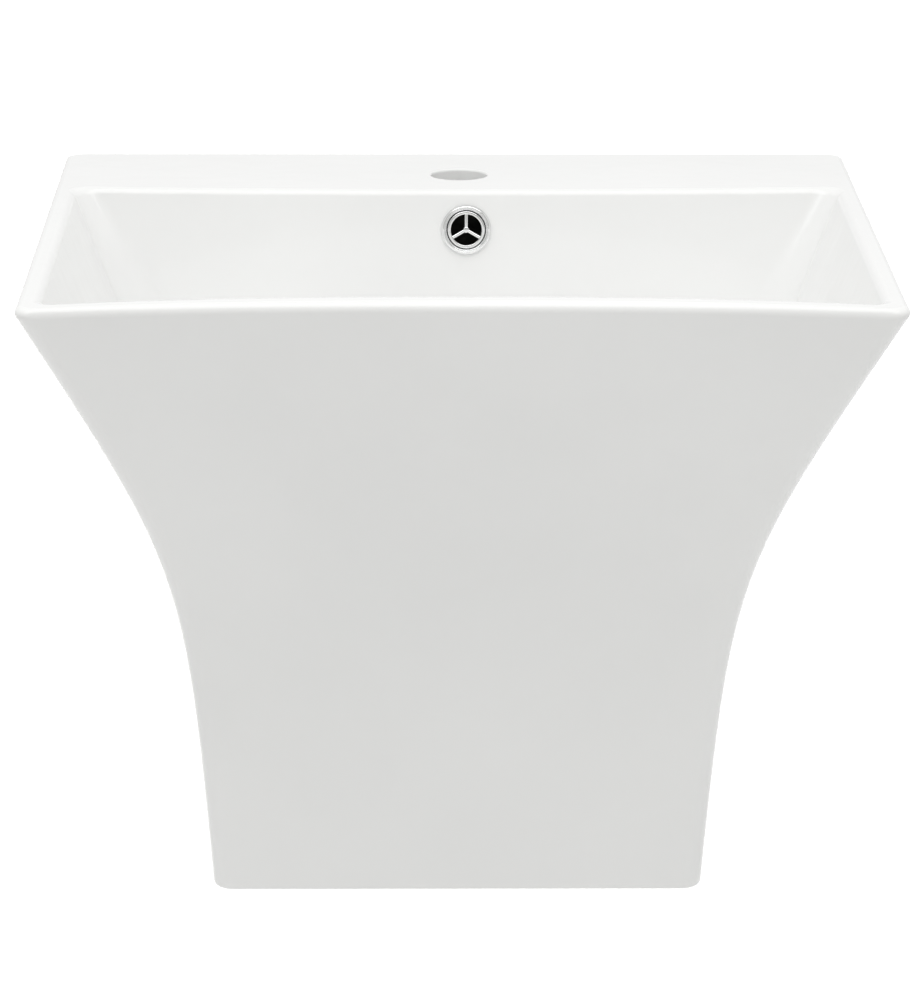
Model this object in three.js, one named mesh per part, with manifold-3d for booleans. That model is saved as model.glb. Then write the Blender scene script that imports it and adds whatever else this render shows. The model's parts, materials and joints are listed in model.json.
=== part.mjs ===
// Wall-hung washbasin with an integral half pedestal, with its waste, bottle trap and wall fixings.
// Millimetres. +Z is up, +X is to the right of a person at the basin, and +Y goes into the wall.
// The origin is on the wall plane, midway between the two fixing bolts.
// Heights on the casting are given as a drop below the rim.

import * as THREE from 'three';
import { mergeVertices } from 'three/addons/utils/BufferGeometryUtils.js';
import Module from 'manifold-3d';

const manifold = await Module();
manifold.setup();

// ---------------------------------------------------------------- driving dimensions

// Casting
const rimWidth = 500;
const rimDepth = 452;
const castHeight = 410;
const rimAboveFixings = 95;
const bowlSkinSide = 13;
const bowlSkinFront = 15;
const bowlSkinBelow = 11.5;
const shroudSkin = 11;
const deckThickness = 14;
const hangingWall = 12;
const hangingWallDrop = 150;
const rearFlange = 17;
const rimRadius = 4;
const wallEdgeRadius = 2;
const footRadius = 6;
const cornerRadius = 11;
const rimBow = 22;
const rimBowPower = 2.5;
const rimBowDrop = 220;
const rearCorner = { top: 9, below: 3, drop: 30 };
const hollowCorner = 6;

// Flare of the sides: their slope falls from flareMean + flareSwing at the rim to
// flareMean - flareSwing at the foot, halfway at flareDrop.
const flareMean = 0.2547;
const flareSwing = 0.1848;
const flareDrop = 199;
const flareSpread = 80;
const sideLean = 1;
const frontLean = 1.908;

// Bowl
const bowlBack = -118;
const bowlBackLean = 0.14;
const bowlBackBow = 8.5;
const bowlBackBowDrop = 130;
const bowlEdgeRadius = 4;
const bowlCornerTop = 14;
const bowlCornerFloor = 40;
const bowlFilletDrop = 90;
const bowlFillet = 30;
const drainRimDrop = 127;
const recessDrop = 129.5;
const recessRadius = 33.5;

// Holes in the casting, and the overflow duct with the rib that carries it
const tapHole = { x: 2, y: -68, radius: 17.5, padRadius: 28, padThickness: 2 };
const overflow = { x: 6, drop: 24.3, radius: 14 };
const duct = { x: 4, halfWidth: 20, depth: 12, cover: 8, top: 16 };
const boss = { radius: 38, cavityRadius: 30, cavityTop: 140.5, cavityFloor: 154, drop: 166, hole: 22.5 };
const rib = { top: 8, rounding: 40 };
const ductRounding = 30;
const fixingSpacing = 280;
const fixingHole = 8;

// Waste, trap and pipe, all on the drain's axis or on the outlet's
const drainY = -212;
const outletZ = -170;
const plugTravel = 9;

// Room between pieces that touch, and how far a cutter stands out of what it cuts
const gap = 0.3;
const overcut = 5;

// How finely rounds are divided
const edgeShares = [0, 0.05, 0.18, 0.48, 1, 1.6];
const cornerSteps = 4;
const frontSteps = 8;
const bowlSideSteps = 5;
const flankDrop = 22;
const flankSteps = 13;
const hollowSteps = 14;
const openingSteps = 8;
const turnSegments = 24;
const smallSegments = 14;

// ---------------------------------------------------------------- finishes

const finish = (color, roughness, metalness) => ({ color, roughness, metalness });
const glaze = finish(0xf3f3f1, 0.08, 0);
const chrome = finish(0xd8dbde, 0.08, 1);
const zinc = finish(0xb4b7ba, 0.35, 1);
const whitePlastic = finish(0xe9e8e3, 0.35, 0);
const greyPlastic = finish(0x8f9291, 0.5, 0);
const blackRubber = finish(0x171717, 0.7, 0);
const springSteel = finish(0xa9adb1, 0.3, 1);

// ---------------------------------------------------------------- solids

// A turned shape about Z. The profile is a list of [radius, height], anticlockwise in that plane.
function turn(profile, segments = turnSegments) {
  const points = profile.map(([radius, height]) => new THREE.Vector2(radius, height));
  const closesOnAxis = points[0].x === 0 && points[points.length - 1].x === 0;
  if (!closesOnAxis) {
    points.push(points[0].clone());
  }
  return new THREE.LatheGeometry(points, segments).rotateX(Math.PI / 2);
}

// A plain ring between two radii and two heights.
function ring(inner, outer, bottom, top, segments = turnSegments) {
  return turn([[inner, bottom], [outer, bottom], [outer, top], [inner, top]], segments);
}

// A plain cylinder along Z.
function rod(radius, bottom, top, segments = turnSegments) {
  return turn([[0, bottom], [radius, bottom], [radius, top], [0, top]], segments);
}

// A box given by its two corners.
function block(low, high) {
  const size = high.map((value, axis) => value - low[axis]);
  const centre = high.map((value, axis) => (value + low[axis]) / 2);
  return new THREE.BoxGeometry(...size).translate(...centre);
}

// A regular outline, given by the distance from its centre to a corner.
function polygon(sides, reach) {
  const corners = Array.from({ length: sides }, (_, side) => {
    const angle = side / sides * 2 * Math.PI;
    return new THREE.Vector2(reach * Math.cos(angle), reach * Math.sin(angle));
  });
  return new THREE.Shape(corners);
}

// A six-sided nut with a round bore, given by its size across the flats.
function hexNut(acrossFlats, bore, bottom, top, segments = smallSegments) {
  const shape = polygon(6, acrossFlats / Math.sqrt(3));
  const hole = new THREE.Path();
  hole.absarc(0, 0, bore, 0, 2 * Math.PI, true);
  shape.holes.push(hole);
  const options = { depth: top - bottom, bevelEnabled: false, curveSegments: segments };
  return new THREE.ExtrudeGeometry(shape, options).translate(0, 0, bottom);
}

// A closed skin through a stack of outlines, the lowest first, each anticlockwise from above.
function loft(outlines) {
  const count = outlines[0].length;
  const positions = outlines.flat().flatMap((point) => [point.x, point.y, point.z]);
  const faces = [];
  for (let level = 0; level < outlines.length - 1; level += 1) {
    for (let index = 0; index < count; index += 1) {
      const here = level * count + index;
      const next = level * count + (index + 1) % count;
      faces.push(here, next, next + count, here, next + count, here + count);
    }
  }
  const lastLevel = (outlines.length - 1) * count;
  const flat = (outline) => outline.map((point) => new THREE.Vector2(point.x, point.y));
  for (const [a, b, c] of THREE.ShapeUtils.triangulateShape(flat(outlines[0]), [])) {
    faces.push(a, c, b);
  }
  for (const [a, b, c] of THREE.ShapeUtils.triangulateShape(flat(outlines.at(-1)), [])) {
    faces.push(lastLevel + a, lastLevel + b, lastLevel + c);
  }
  const geometry = new THREE.BufferGeometry();
  geometry.setAttribute('position', new THREE.Float32BufferAttribute(positions, 3));
  geometry.setIndex(faces);
  return geometry;
}

function toSolid(geometry) {
  const bare = geometry.clone();
  bare.deleteAttribute('normal');
  bare.deleteAttribute('uv');
  const merged = mergeVertices(bare, 1e-4);
  const corners = merged.index.array;
  const faces = [];
  for (let index = 0; index < corners.length; index += 3) {
    const [a, b, c] = corners.slice(index, index + 3);
    if (a !== b && b !== c && c !== a) {
      faces.push(a, b, c);
    }
  }
  const vertProperties = new Float32Array(merged.attributes.position.array);
  const triVerts = new Uint32Array(faces);
  return new manifold.Manifold(new manifold.Mesh({ numProp: 3, vertProperties, triVerts }));
}

function toGeometry(solid) {
  const { vertProperties, triVerts } = solid.getMesh();
  const geometry = new THREE.BufferGeometry();
  geometry.setAttribute('position', new THREE.BufferAttribute(vertProperties, 3));
  geometry.setIndex(new THREE.BufferAttribute(triVerts, 1));
  geometry.computeVertexNormals();
  return geometry;
}

const joined = (first, ...others) => others.reduce((solid, other) => solid.add(other), first);
const cut = (first, ...others) => others.reduce((solid, other) => solid.subtract(other), first);

// ---------------------------------------------------------------- shape of the casting

const zAt = (drop) => rimAboveFixings - drop;
const logCosh = (value) => Math.log(Math.cosh(value));
const blend = (from, to, share) => from + (to - from) * share;

// Inset and slope of the flare, before the rim's rounding.
function flare(drop) {
  const bend = logCosh((drop - flareDrop) / flareSpread) - logCosh(flareDrop / flareSpread);
  return flareMean * drop - flareSwing * flareSpread * bend;
}

const flareSlope = (drop) => flareMean - flareSwing * Math.tanh((drop - flareDrop) / flareSpread);

// A quarter round that starts across the top and ends straight down.
function quarterRound(drop, radius) {
  const depth = Math.min(Math.max(drop, 0), radius);
  return radius - Math.sqrt(radius ** 2 - (radius - depth) ** 2);
}

// How far the outer skin stands in from the rim's edge, as if the rim were not rounded.
function skinInset(drop, lean) {
  const angle = Math.atan(lean * flareSlope(0));
  return rimRadius * (1 - Math.cos(angle)) + lean * (flare(drop) - flare(roundEnd(lean)));
}

// The drop at which the rim's rounding runs out into the flare.
function roundEnd(lean) {
  return rimRadius * (1 + Math.sin(Math.atan(lean * flareSlope(0))));
}

// The same with the rim's rounding.
function inset(drop, lean) {
  if (drop < roundEnd(lean)) {
    return rimRadius - Math.sqrt(rimRadius ** 2 - (rimRadius - drop) ** 2);
  }
  return skinInset(drop, lean);
}

// Width of a skin measured level, where the skin leans.
const levelWidth = (skin, drop, lean) => skin * Math.hypot(1, lean * flareSlope(drop));

const fade = (drop, reach) => Math.max(0, 1 - drop / reach) ** 2;
const bowAt = (drop) => rimBow * fade(drop, rimBowDrop);
const backBowAt = (drop) => bowlBackBow * fade(drop, bowlBackBowDrop);

// A rounded rectangle at one height, with its front and rear edges bowed inwards at the middle.
function outline({
  half, front, rear, frontRadius, rearRadius, bow, rearBow = 0, z, sideSteps = 1, rearSteps = 1,
}) {
  const points = [];
  const between = (from, to, count) => {
    for (let step = 1; step < count; step += 1) {
      const [x, y] = from.map((value, axis) => blend(value, to[axis], step / count));
      points.push(new THREE.Vector3(x, y, z));
    }
  };
  const corner = (x, y, radius, start) => {
    for (let step = 0; step <= cornerSteps; step += 1) {
      const angle = start + step / cornerSteps * Math.PI / 2;
      points.push(new THREE.Vector3(x + radius * Math.cos(angle), y + radius * Math.sin(angle), z));
    }
  };
  const frontReach = half - frontRadius;
  const rearReach = half - rearRadius;
  corner(-frontReach, front + frontRadius, frontRadius, Math.PI);
  between([-frontReach, front], [frontReach, front], frontSteps);
  corner(frontReach, front + frontRadius, frontRadius, 1.5 * Math.PI);
  between([half, front + frontRadius], [half, rear - rearRadius], sideSteps);
  corner(rearReach, rear - rearRadius, rearRadius, 0);
  between([rearReach, rear], [-rearReach, rear], rearSteps);
  corner(-rearReach, rear - rearRadius, rearRadius, 0.5 * Math.PI);
  between([-half, rear - rearRadius], [-half, front + frontRadius], sideSteps);
  for (const point of points) {
    const forward = (rear - point.y) / (rear - front);
    const aside = Math.min(Math.abs(point.x) / half, 1);
    point.y += bow * forward * (1 - aside ** rimBowPower) - rearBow * (1 - forward) * (1 - aside ** 2);
  }
  return points;
}

function steps(from, to, count) {
  return Array.from({ length: count + 1 }, (_, index) => blend(from, to, index / count));
}

// Outside of the casting.
function castingBlock() {
  const rim = edgeShares.map((share) => share * rimRadius);
  const flank = steps(flankDrop, castHeight - footRadius, flankSteps);
  const foot = [castHeight - footRadius * 0.3, castHeight];
  const outlines = [...rim, ...flank, ...foot].map((drop) => {
    const footInset = quarterRound(castHeight - drop, footRadius);
    return outline({
      half: rimWidth / 2 - inset(drop, sideLean) - footInset,
      front: -rimDepth + inset(drop, frontLean) + footInset,
      rear: -Math.max(quarterRound(drop, wallEdgeRadius), quarterRound(castHeight - drop, wallEdgeRadius)),
      frontRadius: cornerRadius - footInset * 0.5,
      rearRadius: blend(rearCorner.top, rearCorner.below, Math.min(drop / rearCorner.drop, 1)),
      bow: bowAt(drop),
      z: zAt(drop),
    });
  });
  return toSolid(loft(outlines.reverse()));
}

// The middle of the bowl's back face.
const bowlBackAt = (drop) => bowlBack - bowlBackLean * drop;

// Inside of the bowl, or with grow set, the outside of the bowl's skin.
function bowlBlock(grow, deepen) {
  const lip = [-1, 0, 0.15, 0.5, 1].map((share) => share * bowlEdgeRadius);
  const walls = [...lip, bowlFilletDrop / 3, bowlFilletDrop * 2 / 3];
  const round = steps(0, Math.PI / 2, cornerSteps);
  const radius = bowlFillet + deepen;
  const outlineAt = (drop, roundInset) => {
    const level = Math.max(drop, 0);
    const edge = quarterRound(level, bowlEdgeRadius) * (grow ? 0 : 1);
    const sideSkin = levelWidth(bowlSkinSide, level, sideLean) - grow - edge;
    const frontSkin = levelWidth(bowlSkinFront, level, frontLean) - grow - edge;
    const corner = blend(bowlCornerTop, bowlCornerFloor, level / recessDrop) + grow;
    return outline({
      half: rimWidth / 2 - skinInset(level, sideLean) - sideSkin - roundInset,
      front: -rimDepth + skinInset(level, frontLean) + frontSkin + roundInset,
      rear: bowlBackAt(level) + backBowAt(level) + grow + edge - roundInset,
      frontRadius: corner,
      rearRadius: corner,
      bow: bowAt(level),
      rearBow: backBowAt(level),
      z: zAt(drop),
      sideSteps: bowlSideSteps,
      rearSteps: frontSteps,
    });
  };
  const rings = walls.map((drop) => outlineAt(drop, 0));
  for (const angle of round) {
    rings.push(outlineAt(bowlFilletDrop + radius * Math.sin(angle), radius * (1 - Math.cos(angle))));
  }
  const floorEdge = rings.at(-1);
  const circle = (share, drop) => floorEdge.map((point) => {
    const fromDrain = new THREE.Vector2(point.x, point.y - drainY);
    const reach = fromDrain.length();
    const scale = blend(1, (recessRadius + grow) / reach, share);
    return new THREE.Vector3(fromDrain.x * scale, drainY + fromDrain.y * scale, zAt(drop));
  });
  const floorDrop = bowlFilletDrop + radius;
  rings.push(circle(0.5, blend(floorDrop, drainRimDrop + deepen, 0.55)));
  rings.push(circle(1, drainRimDrop + deepen));
  const recess = rod(recessRadius + grow, zAt(recessDrop + deepen), zAt(drainRimDrop - overcut));
  return joined(toSolid(loft(rings.reverse())), toSolid(recess.translate(0, drainY, 0)));
}

// The hollow under the deck and behind the shroud's skin.
function shroudHollow() {
  const drops = steps(deckThickness, castHeight + overcut, hollowSteps);
  const outlines = drops.map((drop) => outline({
    half: rimWidth / 2 - inset(drop, sideLean) - levelWidth(shroudSkin, drop, sideLean),
    front: -rimDepth + inset(drop, frontLean) + levelWidth(shroudSkin, drop, frontLean),
    rear: -hangingWall,
    frontRadius: hollowCorner,
    rearRadius: hollowCorner,
    bow: bowAt(drop),
    z: zAt(drop),
  }));
  return toSolid(loft(outlines.reverse()));
}

// The opening to the wall below the hanging wall, between two upright flanges.
function rearOpening() {
  const reach = 8;
  const edgeRadius = 2;
  const drops = steps(hangingWallDrop, castHeight + overcut, openingSteps);
  const outlines = drops.map((drop) => outline({
    half: rimWidth / 2 - inset(drop, sideLean) - shroudSkin - rearFlange,
    front: -hangingWall - reach,
    rear: reach,
    frontRadius: edgeRadius,
    rearRadius: edgeRadius,
    bow: 0,
    z: zAt(drop),
  }));
  return toSolid(loft(outlines.reverse()));
}

// A slab about the duct's middle, cut to an outline of [y, drop] points.
function ductSlab(halfWidth, corners) {
  const shape = new THREE.Shape(corners.map(([y, drop]) => new THREE.Vector2(y, zAt(drop))));
  const slab = new THREE.ExtrudeGeometry(shape, { depth: 2 * halfWidth, bevelEnabled: false });
  slab.rotateX(Math.PI / 2);
  slab.rotateZ(Math.PI / 2);
  return toSolid(slab.translate(duct.x - halfWidth, 0, 0));
}

// Side view of the duct at some distance behind the bowl's back face and below its floor.
function ductOutline(behind, floorDrop, top, rounding) {
  const back = (drop) => bowlBackAt(drop) + behind;
  return [
    [drainY, top],
    [back(top), top],
    [back(floorDrop - rounding), floorDrop - rounding],
    [back(floorDrop) - rounding * 0.3, floorDrop - rounding * 0.3],
    [back(floorDrop) - rounding, floorDrop],
    [drainY, floorDrop],
  ];
}

// Placement of the overflow fittings: Z comes out of the bowl's back face, Y points up it.
const overflowFrame = new THREE.Group();
overflowFrame.position.set(overflow.x, bowlBackAt(overflow.drop), zAt(overflow.drop));
overflowFrame.rotation.x = Math.PI / 2 - Math.atan(bowlBackLean);
overflowFrame.updateMatrix();

function ceramicBody() {
  const bowlOutside = bowlBlock(bowlSkinBelow, bowlSkinBelow - 0.5);
  const ribBehind = duct.depth + duct.cover + bowlSkinBelow;
  const ribShape = ductOutline(ribBehind, boss.drop, rib.top, rib.rounding);
  const ribBlock = ductSlab(duct.halfWidth + duct.cover, ribShape);
  const bossBlock = toSolid(rod(boss.radius, zAt(boss.drop), zAt(100)).translate(0, drainY, 0));
  const tapPad = rod(tapHole.padRadius, zAt(deckThickness + tapHole.padThickness), zAt(overcut));
  const padBlock = toSolid(tapPad.translate(tapHole.x, tapHole.y, 0));
  const hollow = cut(shroudHollow(), bowlOutside, ribBlock, bossBlock, padBlock);
  const channelShape = ductOutline(duct.depth + bowlSkinBelow, boss.cavityFloor, duct.top, ductRounding);
  const channel = cut(ductSlab(duct.halfWidth, channelShape), bowlOutside);
  const cavity = ring(boss.hole - 1, boss.cavityRadius, zAt(boss.cavityFloor), zAt(boss.cavityTop));
  const drain = rod(boss.hole, zAt(boss.drop + overcut), zAt(recessDrop - overcut));
  const tap = rod(tapHole.radius, zAt(deckThickness + overcut), zAt(-overcut));
  const overflowHole = rod(overflow.radius, -bowlSkinBelow - duct.depth / 2, 8);
  const holes = [
    cavity.translate(0, drainY, 0),
    drain.translate(0, drainY, 0),
    tap.translate(tapHole.x, tapHole.y, 0),
    overflowHole.applyMatrix4(overflowFrame.matrix),
  ];
  for (const side of [-1, 1]) {
    const fixing = rod(fixingHole, -overcut, hangingWall + overcut, smallSegments).rotateX(Math.PI / 2);
    holes.push(fixing.translate(side * fixingSpacing / 2, 0, 0));
  }
  const casting = cut(castingBlock(), bowlBlock(0, 0), hollow, channel, rearOpening());
  return toGeometry(cut(casting, ...holes.map(toSolid)));
}

// ---------------------------------------------------------------- overflow fittings

function addOverflow(add) {
  const ringBore = 11;
  const ringNeck = 12;
  const ringFlange = 15.5;
  const armWidth = 2.3;
  add('overflow_ring', chrome, turn([
    [ringBore, -10], [ringNeck, -10], [ringNeck, gap], [ringFlange, gap], [ringFlange, 1],
    [14.6, 2.2], [13, 2.4], [ringNeck, 1.6], [ringBore, 0.9],
  ]));
  add('overflow_sleeve', blackRubber, ring(ringNeck + gap, overflow.radius - gap, -11.5, -0.4));
  const insert = toSolid(turn([[9.6, -7], [10.7, -7], [10.7, 1.2], [11.7, 2.1], [11.4, 2.9], [9.6, 2.9]]));
  const hub = toSolid(rod(2.2, 0.6, 2.6, smallSegments));
  const arms = [0, 1, 2].map((index) => {
    const arm = block([-armWidth / 2, 0, 0.8], [armWidth / 2, 10.2, 2.4]);
    return toSolid(arm.rotateZ(index * 2 * Math.PI / 3));
  });
  add('overflow_grid', chrome, toGeometry(joined(insert, hub, ...arms)));
}

// ---------------------------------------------------------------- waste and plug, on the drain's axis

const seatZ = zAt(recessDrop);
const flangeTop = seatZ + 4.7;
const capRim = flangeTop + gap + plugTravel;
const bossFace = zAt(boss.drop);
const wasteRadius = 20.8;
const wasteBore = 17.5;
const wasteEnd = -111;
const webTop = -66;

function addWaste(add) {
  const flangeFace = seatZ + 2.2;
  const slotFoot = -57;
  const slotHead = -47;
  const webFoot = webTop - 4;
  const tube = toSolid(turn([
    [wasteBore, wasteEnd], [wasteRadius, wasteEnd], [wasteRadius, flangeFace - 6],
    [21.8, flangeFace - 2.2], [22.6, flangeFace - 1.2], [22.6, flangeFace], [31.6, flangeFace],
    [32.5, flangeFace + 0.8], [32.2, flangeFace + 1.8], [31, flangeTop], [22.5, flangeTop],
    [wasteBore, flangeTop - 6.2],
  ]));
  const slots = [0, 1, 2, 3].map((index) => {
    const slot = block([-4, 0, slotFoot], [4, wasteRadius + overcut, slotHead]);
    return toSolid(slot.rotateZ(index * Math.PI / 2 + Math.PI / 4));
  });
  const hub = toSolid(rod(8, webFoot, webTop, smallSegments));
  const webArms = [0, 1, 2].map((index) => {
    const arm = block([-2, 0, webFoot], [2, wasteBore + 0.5, webTop]);
    return toSolid(arm.rotateZ(index * 2 * Math.PI / 3));
  });
  const hubBore = toSolid(rod(3.4, webFoot - overcut, webTop + overcut, smallSegments));
  add('waste_body', chrome, toGeometry(cut(joined(tube, hub, ...webArms), hubBore, ...slots)));
  add('waste_flange_gasket', blackRubber, ring(23.5, 31, seatZ + gap, flangeFace - gap));

  const gasketFoot = bossFace - 6;
  add('waste_lower_gasket', blackRubber, turn([
    [wasteRadius + gap, gasketFoot], [32, gasketFoot], [32, gasketFoot + 2.5],
    [26, bossFace - gap], [wasteRadius + gap, bossFace - gap],
  ]));
  add('waste_washer', whitePlastic, ring(wasteRadius + 0.5, 33, gasketFoot - 2.3, gasketFoot - gap));
  const nutTop = gasketFoot - 2.3 - gap;
  add('waste_backnut', chrome, hexNut(58, wasteRadius + gap, nutTop - 10, nutTop, turnSegments));
}

function addPlug(add) {
  add('plug_cap', chrome, turn([
    [0, capRim + 0.5], [3.3, capRim + 0.5], [3.3, capRim - 7], [10, capRim - 7], [10, capRim - 5.6],
    [9, capRim - 5.6], [9, capRim - 2.3], [18, capRim - 2.3], [18, capRim + 0.8], [28, capRim + 0.8],
    [28.6, capRim], [30, capRim], [30, capRim + 1.6], [27, capRim + 3], [16, capRim + 4.9],
    [0, capRim + 5.6],
  ]));
  add('plug_gasket', blackRubber, turn([
    [9 + gap, capRim - 5.3], [17.6, capRim - 5.3], [19.8, capRim - 2.6], [9 + gap, capRim - 2.6],
  ]));

  const ceiling = -41;
  const pistonFoot = ceiling - gap - 4;
  add('plug_plunger', zinc, turn([
    [0, pistonFoot], [5.2, pistonFoot], [5.2, ceiling - gap], [3, ceiling - gap], [3, capRim + 0.2],
    [0, capRim + 0.2],
  ], smallSegments));
  add('click_cartridge', whitePlastic, turn([
    [0, webTop - 8], [3.1, webTop - 8], [3.1, webTop + gap], [7.5, webTop + gap], [7.5, ceiling + 3],
    [3.4, ceiling + 3], [3.4, ceiling], [5.6, ceiling], [5.6, webTop + 3], [0, webTop + 3],
  ], smallSegments));

  const coilRadius = 3.6;
  const wireRadius = 0.45;
  const springFoot = webTop + 3 + gap + 0.5;
  const springTop = pistonFoot - gap - 0.5;
  const turns = 5;
  const stepsPerTurn = 10;
  const helix = steps(springFoot, springTop, turns * stepsPerTurn).map((height, step) => {
    const angle = step / stepsPerTurn * 2 * Math.PI;
    return new THREE.Vector3(coilRadius * Math.cos(angle), coilRadius * Math.sin(angle), height);
  });
  const route = new THREE.CatmullRomCurve3(helix);
  const wound = { steps: turns * stepsPerTurn, extrudePath: route, bevelEnabled: false };
  add('click_spring', springSteel, new THREE.ExtrudeGeometry(polygon(5, wireRadius), wound));
}

// ---------------------------------------------------------------- bottle trap

const tubeRadius = 16;
const tubeBore = 14.3;
const spoutRadius = 21.5;
const spoutEnd = 155;
const bottleRadius = 30;
const spigotRadius = 28.2;
const neckTop = -131;
const bottleShoulder = -147;
const bottleBore = 25.6;
const bottleFoot = -215;
const nutReach = 26;
const spigotTop = -200.6;
const cupTop = -203;
const cupFoot = -262;

function addTrap(add) {
  const flangeTopZ = wasteEnd - 2.2;
  add('trap_union_gasket', blackRubber, ring(16.9, 20.5, wasteEnd - 1.9, wasteEnd - gap));
  add('trap_dip_tube', whitePlastic, turn([
    [tubeBore, -234], [tubeRadius, -234], [tubeRadius, flangeTopZ - 2], [20.5, flangeTopZ - 2],
    [20.5, flangeTopZ], [tubeBore, flangeTopZ],
  ]));
  add('trap_union_nut', whitePlastic, turn([
    [16.8, -118], [25.5, -118], [27, -116.5], [27, -96], [wasteRadius + gap, -96],
    [wasteRadius + gap, flangeTopZ - 2 - gap], [16.8, flangeTopZ - 2 - gap],
  ]));

  const neckBore = 16.6;
  add('trap_top_seal', blackRubber, turn([
    [16.3, neckTop + gap], [spoutRadius - 0.5, neckTop + gap], [spoutRadius - 0.5, neckTop + 2],
    [18.5, neckTop + 3.5], [16.3, neckTop + 3.5],
  ]));
  add('trap_top_nut', whitePlastic, turn([
    [spoutRadius + gap, neckTop - 12], [nutReach, neckTop - 12], [nutReach, neckTop + 4.8],
    [nutReach - 1, neckTop + 6],
    [16.6, neckTop + 6], [16.6, neckTop + 3.8], [spoutRadius + gap, neckTop + 3.8],
  ]));

  const bottle = toSolid(turn([
    [bottleBore, bottleFoot], [spigotRadius, bottleFoot], [spigotRadius, spigotTop],
    [bottleRadius, spigotTop],
    [bottleRadius, bottleShoulder - 1.5], [spoutRadius, bottleShoulder + 3], [spoutRadius, neckTop],
    [neckBore, neckTop], [neckBore, bottleShoulder], [bottleBore, bottleShoulder - 3],
  ]));
  const spoutAlongY = (radius, from, to) => {
    const bar = rod(radius, from, to).rotateX(-Math.PI / 2);
    return toSolid(bar.translate(0, 0, outletZ));
  };
  const bottleInside = toSolid(rod(bottleBore, bottleFoot + 1, bottleShoulder - 3));
  const spout = cut(spoutAlongY(spoutRadius, 20, -drainY - spoutEnd), bottleInside);
  const spoutBore = spoutAlongY(tubeRadius + 0.8, 18, -drainY - spoutEnd + 2);
  add('trap_body', whitePlastic, toGeometry(cut(joined(bottle, spout), spoutBore)));

  add('trap_cup_seal', blackRubber, ring(spigotRadius + gap, 30.3, cupTop + gap, spigotTop - gap));
  add('trap_cup', whitePlastic, turn([
    [0, cupFoot], [24, cupFoot], [27, cupFoot + 1.2], [31, cupTop - 24], [31, cupTop],
    [spigotRadius + gap, cupTop], [spigotRadius + gap, cupTop - 13.5], [27, cupTop - 14.5],
    [24, cupFoot + 4.5], [22, cupFoot + 3], [0, cupFoot + 3],
  ]));
}

// Outlet fittings. Z is the distance out of the wall.
function addOutlet(add) {
  add('trap_outlet_seal', blackRubber, turn([
    [16.3, spoutEnd - 3.5], [18.5, spoutEnd - 3.5], [21, spoutEnd - 2], [21, spoutEnd - gap],
    [16.3, spoutEnd - gap],
  ]));
  add('trap_outlet_nut', whitePlastic, turn([
    [16.6, spoutEnd - 6.2], [nutReach - 1, spoutEnd - 6.2], [nutReach, spoutEnd - 5],
    [nutReach, spoutEnd + 12], [spoutRadius + gap, spoutEnd + 12], [spoutRadius + gap, spoutEnd - 3.8],
    [16.6, spoutEnd - 3.8],
  ]));
  add('trap_outlet_pipe', whitePlastic, ring(tubeBore, tubeRadius, -30, spoutEnd + 16));
  add('wall_flange', chrome, turn([
    [33, 0.5], [34.5, 0.5], [34.5, 1.6], [27, 5.6], [19.5, 7.6], [18, 10], [16.4, 10], [16.4, 7.2],
    [26, 4.2], [33, 1.2],
  ]));
}

// ---------------------------------------------------------------- wall fixings

// One fixing. Z is the distance out of the wall.
function addFixing(add, side) {
  add(`hanger_bolt_${side}`, zinc, turn([
    [0, -62], [1.2, -60], [3.75, -54], [3.75, -0.5], [4.9, 0.5], [4.9, 37], [4, 38], [0, 38],
  ], smallSegments));
  add(`wall_plug_${side}`, greyPlastic, turn([
    [0, -66], [5, -66], [7, -62], [7, -0.6], [4.1, -0.6], [4.1, -63], [0, -63],
  ], smallSegments));
  const seat = hangingWall + gap;
  add(`fixing_sleeve_${side}`, whitePlastic, turn([
    [5.3, 0.8], [fixingHole - gap, 0.8], [fixingHole - gap, seat], [14, seat], [14, seat + 3],
    [5.3, seat + 3],
  ], smallSegments));
  add(`fixing_washer_${side}`, zinc, ring(5.4, 13, seat + 3.3, seat + 5.3, smallSegments));
  add(`fixing_nut_${side}`, zinc, hexNut(17, 5.2, seat + 5.6, seat + 13.6));
}

// ---------------------------------------------------------------- assembly

const basin = new THREE.Group();

// Returns a function that puts a named piece of one finish in a group.
function adder(group) {
  return (name, { color, roughness, metalness }, geometry) => {
    const material = new THREE.MeshStandardMaterial({ color, roughness, metalness });
    const mesh = new THREE.Mesh(geometry, material);
    mesh.name = name;
    group.add(mesh);
  };
}

adder(basin)('ceramic_body', glaze, ceramicBody());

basin.add(overflowFrame);
addOverflow(adder(overflowFrame));

const drainFrame = new THREE.Group();
drainFrame.position.set(0, drainY, 0);
basin.add(drainFrame);
addWaste(adder(drainFrame));
addPlug(adder(drainFrame));
addTrap(adder(drainFrame));

const outletFrame = new THREE.Group();
outletFrame.position.set(0, 0, outletZ);
outletFrame.rotation.x = Math.PI / 2;
basin.add(outletFrame);
addOutlet(adder(outletFrame));

for (const [side, direction] of [['left', -1], ['right', 1]]) {
  const fixingFrame = new THREE.Group();
  fixingFrame.position.set(direction * fixingSpacing / 2, 0, 0);
  fixingFrame.rotation.x = Math.PI / 2;
  basin.add(fixingFrame);
  addFixing(adder(fixingFrame), side);
}

export default basin;
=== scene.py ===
import json
import math

import bpy
from mathutils import Matrix, Vector


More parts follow.
